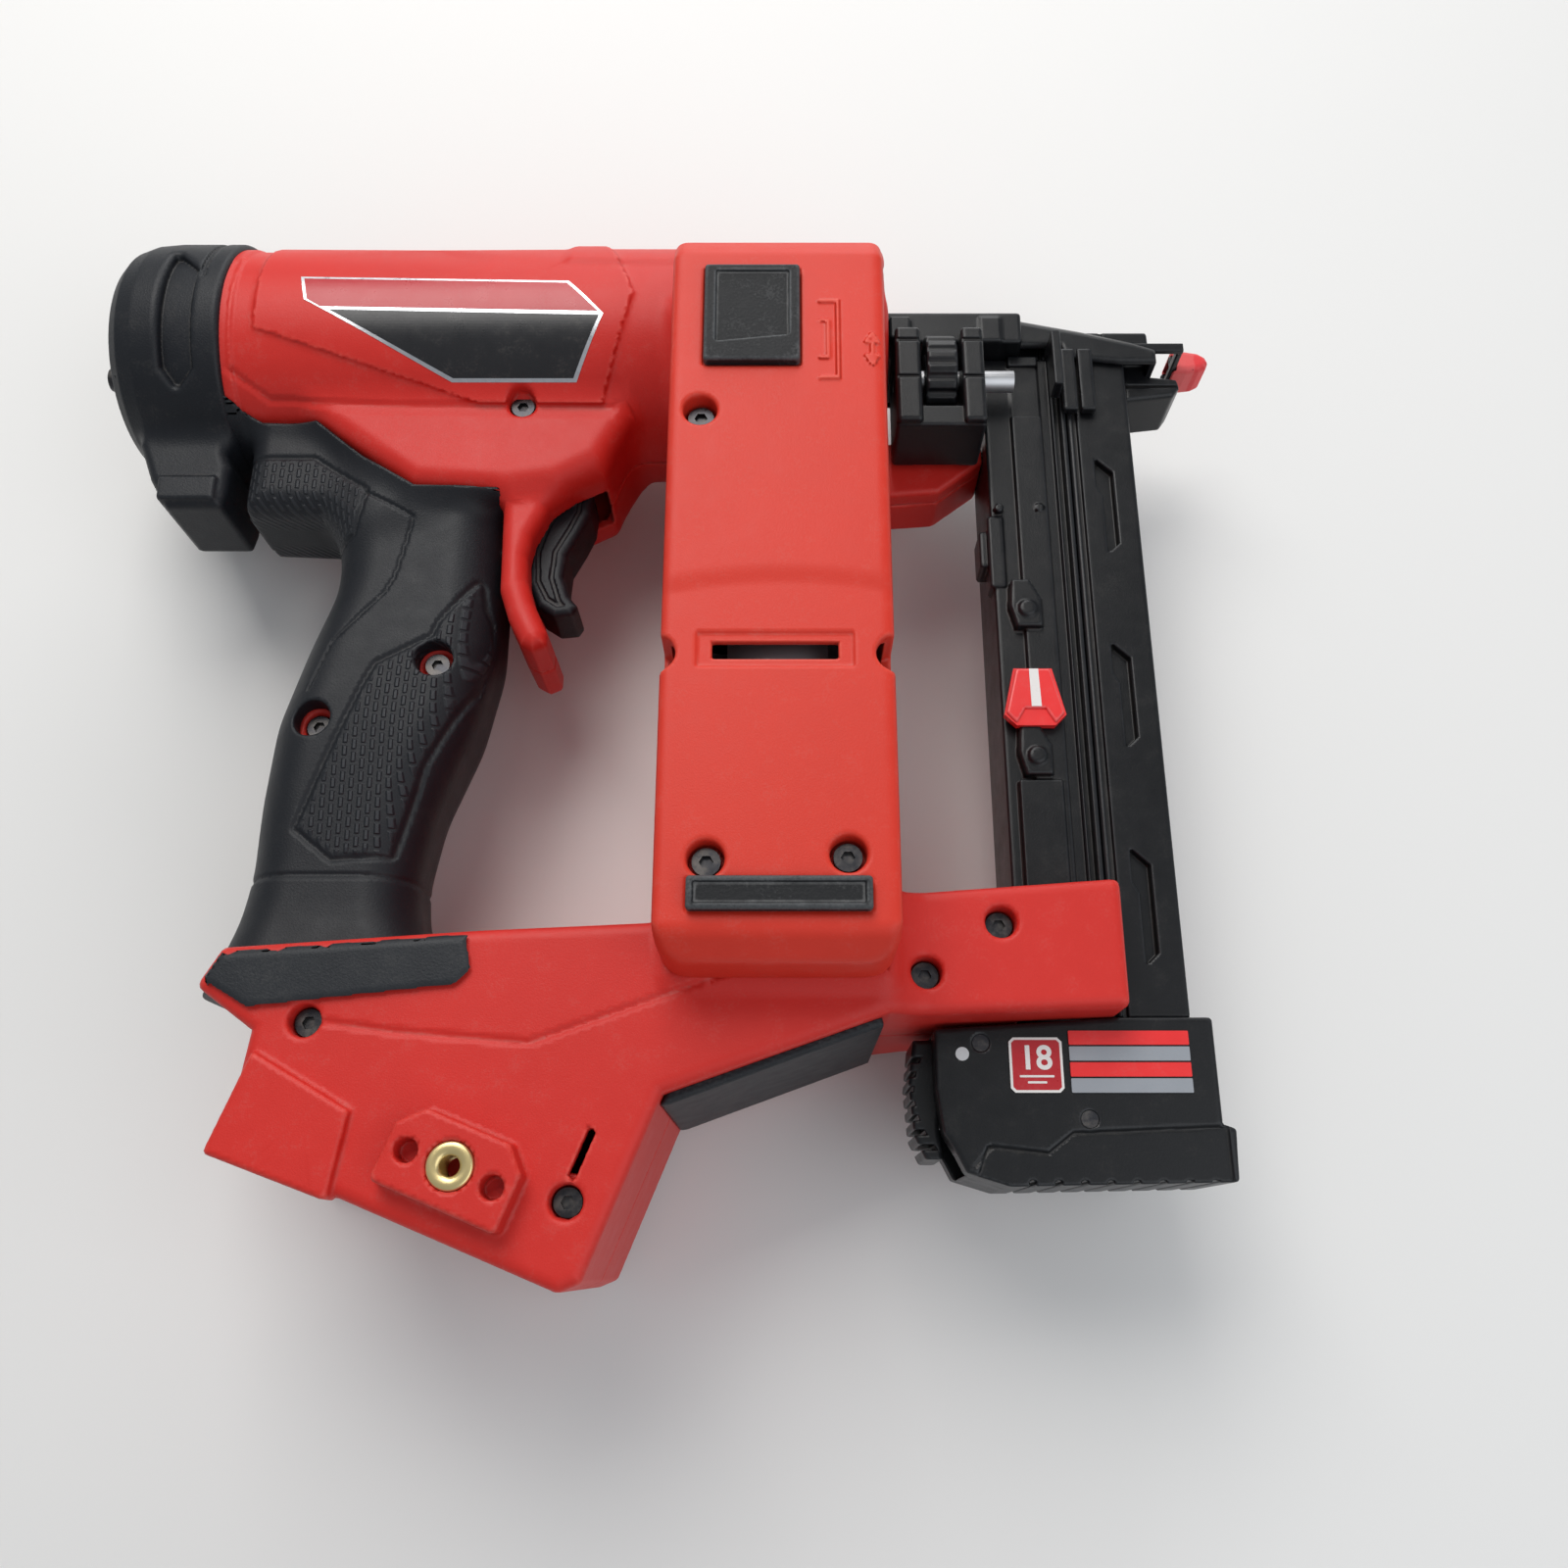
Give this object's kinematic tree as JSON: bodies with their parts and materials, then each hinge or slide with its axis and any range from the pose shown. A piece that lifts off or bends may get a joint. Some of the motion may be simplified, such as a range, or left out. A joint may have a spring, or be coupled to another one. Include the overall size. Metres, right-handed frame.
{
  "type": "cordless brad nailer",
  "caption": "Battery-powered gas-spring brad nailer with a narrow-crown magazine, gear column beside the grip, depth wheel, sliding magazine and pull-off nose tip; battery left off.",
  "frame": {"origin": "middle of the lowest face with the tool lying on its left side", "axes": "+X from the end cap to the nose along the drive axis, +Y from the battery foot to the barrel, +Z from the tool's left side up to its right side"},
  "size_m": [0.32, 0.294, 0.1038],
  "materials": {
    "red_shell": "satin moulded glass-filled nylon, bright red",
    "orange_red_shell": "satin moulded nylon, slightly more orange red",
    "black_overmold": "soft blue-black elastomer, fine texture",
    "black_plastic": "satin black nylon",
    "pad_rubber": "worn black rubber",
    "tip_rubber": "soft red rubber",
    "indicator_red": "red moulding with a white stripe",
    "steel": "ground tool steel",
    "dark_steel": "black-oxide steel",
    "screw_steel": "black zinc screws",
    "spring_steel": "bright spring wire",
    "brass": "turned brass",
    "cast_alloy": "die-cast aluminium",
    "board": "potted circuit board",
    "grey_plastic": "grey nylon",
    "urethane": "amber urethane",
    "label": "printed foil, bare of words",
    "lamination": "varnished motor laminations"
  },
  "bodies": {
    "body": {"housing_left": "red_shell", "housing_right": "red_shell", "gear_cover": "orange_red_shell", "grip_overmold": "black_overmold", "foot_overmold": "black_overmold", "end_cap": "black_overmold", "housing_screws": "screw_steel", "cover_screws": "screw_steel", "cap_screws": "screw_steel", "rubber_pad_upper": "pad_rubber", "rubber_pad_lower": "pad_rubber", "label_plate": "label", "hook_bushes": "brass", "terminal_block": "grey_plastic", "terminal_blades": "brass", "control_board": "board", "trigger_switch": "grey_plastic", "gas_chamber": "cast_alloy", "drive_cylinder": "cast_alloy", "chamber_bulkhead": "cast_alloy", "fill_valve": "brass", "piston_bumper": "urethane", "ring_gear": "dark_steel", "gear_case": "cast_alloy", "motor_stator": "lamination", "motor_bearings": "steel", "trigger_pin": "steel", "trigger_spring": "spring_steel", "nosepiece": "dark_steel", "nose_cover": "black_plastic", "wheel_bracket": "black_plastic", "contact_spring": "spring_steel", "magazine_rail": "black_plastic", "magazine_core": "steel", "pusher_spring": "spring_steel"},
    "driver": {"piston": "cast_alloy", "piston_rings": "pad_rubber", "driver_blade": "steel"},
    "lifter": {"lifter_wheel": "dark_steel", "lifter_rollers": "steel", "planet_carrier": "dark_steel"},
    "rotor": {"motor_rotor": "lamination", "cooling_fan": "black_plastic"},
    "planet_1": {"planet_gear_1": "steel"},
    "planet_2": {"planet_gear_2": "steel"},
    "planet_3": {"planet_gear_3": "steel"},
    "trigger_lever": {"trigger": "black_plastic"},
    "wheel": {"depth_wheel": "black_plastic"},
    "stud": {"depth_stud": "steel"},
    "contact": {"contact_arm": "dark_steel"},
    "soft_tip": {"no_mar_tip": "tip_rubber"},
    "magazine_slide": {"magazine_cover": "black_plastic", "magazine_end": "black_plastic", "magazine_labels": "label", "magazine_screws": "screw_steel", "latch_pin": "steel", "latch_spring": "spring_steel"},
    "latch": {"release_latch": "black_plastic"},
    "pusher_shoe": {"pusher": "indicator_red"}
  },
  "joints": [
    {"name": "trigger_pull", "type": "hinge", "parent": "body", "child": "trigger_lever", "pos_m": [-0.026, 0.062, 0.042], "axis": [0, 0, -1], "range_deg": [0, 7], "stiffness_Nm_per_rad": 0.6, "springref_deg": -5.73, "deforming": ["trigger_spring"]},
    {"name": "lifter_turn", "type": "hinge", "parent": "body", "child": "lifter", "pos_m": [0.0325, 0.105, 0.07], "axis": [0, -1, 0], "range_deg": [0, 286.43]},
    {"name": "driver_stroke", "type": "slide", "parent": "body", "child": "driver", "axis": [1, 0, 0], "range_m": [0, 0.06]},
    {"name": "rotor_spin", "type": "hinge", "parent": "body", "child": "rotor", "pos_m": [0.0325, 0.052, 0.07], "axis": [0, -1, 0], "range_deg": [0, 1433.2]},
    {"name": "planet_1_spin", "type": "hinge", "parent": "lifter", "child": "planet_1", "pos_m": [0.0445, 0.083, 0.07], "axis": [0, -1, 0], "range_deg": [-764.8, 0]},
    {"name": "planet_2_spin", "type": "hinge", "parent": "lifter", "child": "planet_2", "pos_m": [0.0265, 0.083, 0.05961], "axis": [0, -1, 0], "range_deg": [-764.8, 0]},
    {"name": "planet_3_spin", "type": "hinge", "parent": "lifter", "child": "planet_3", "pos_m": [0.0265, 0.083, 0.08039], "axis": [0, -1, 0], "range_deg": [-764.8, 0]},
    {"name": "depth_wheel_turn", "type": "hinge", "parent": "body", "child": "wheel", "pos_m": [0.077, 0.093, 0.062], "axis": [1, 0, 0], "range_deg": [0, 1080]},
    {"name": "depth_stud_feed", "type": "slide", "parent": "body", "child": "stud", "axis": [1, 0, 0], "range_m": [0, 0.003]},
    {"name": "contact_press", "type": "slide", "parent": "body", "child": "contact", "axis": [-1, 0, 0], "range_m": [0, 0.007], "stiffness_N_per_m": 900, "springref_m": -0.004, "deforming": ["contact_spring"]},
    {"name": "tip_pull_off", "type": "slide", "parent": "contact", "child": "soft_tip", "axis": [1, 0, 0], "range_m": [0, 0.02]},
    {"name": "magazine_open", "type": "slide", "parent": "body", "child": "magazine_slide", "axis": [0, -1, 0], "range_m": [0, 0.15]},
    {"name": "latch_squeeze", "type": "hinge", "parent": "magazine_slide", "child": "latch", "pos_m": [0.076, -0.094, 0.042], "axis": [0, 0, 1], "range_deg": [0, 8], "stiffness_Nm_per_rad": 0.4, "springref_deg": -5.73, "deforming": ["latch_spring"]},
    {"name": "pusher_travel", "type": "slide", "parent": "body", "child": "pusher_shoe", "axis": [0, 1, 0], "range_m": [-0.042, 0.078], "stiffness_N_per_m": 25, "deforming": ["pusher_spring"]}
  ],
  "couplings": [
    {"joint": "driver_stroke", "follows": "lifter_turn", "m_per_rad": 0.012},
    {"joint": "rotor_spin", "follows": "lifter_turn", "ratio": 5},
    {"joint": "planet_1_spin", "follows": "lifter_turn", "ratio": -2.6667},
    {"joint": "planet_2_spin", "follows": "lifter_turn", "ratio": -2.6667},
    {"joint": "planet_3_spin", "follows": "lifter_turn", "ratio": -2.6667},
    {"joint": "depth_stud_feed", "follows": "depth_wheel_turn", "m_per_rad": 0.00015915}
  ]
}
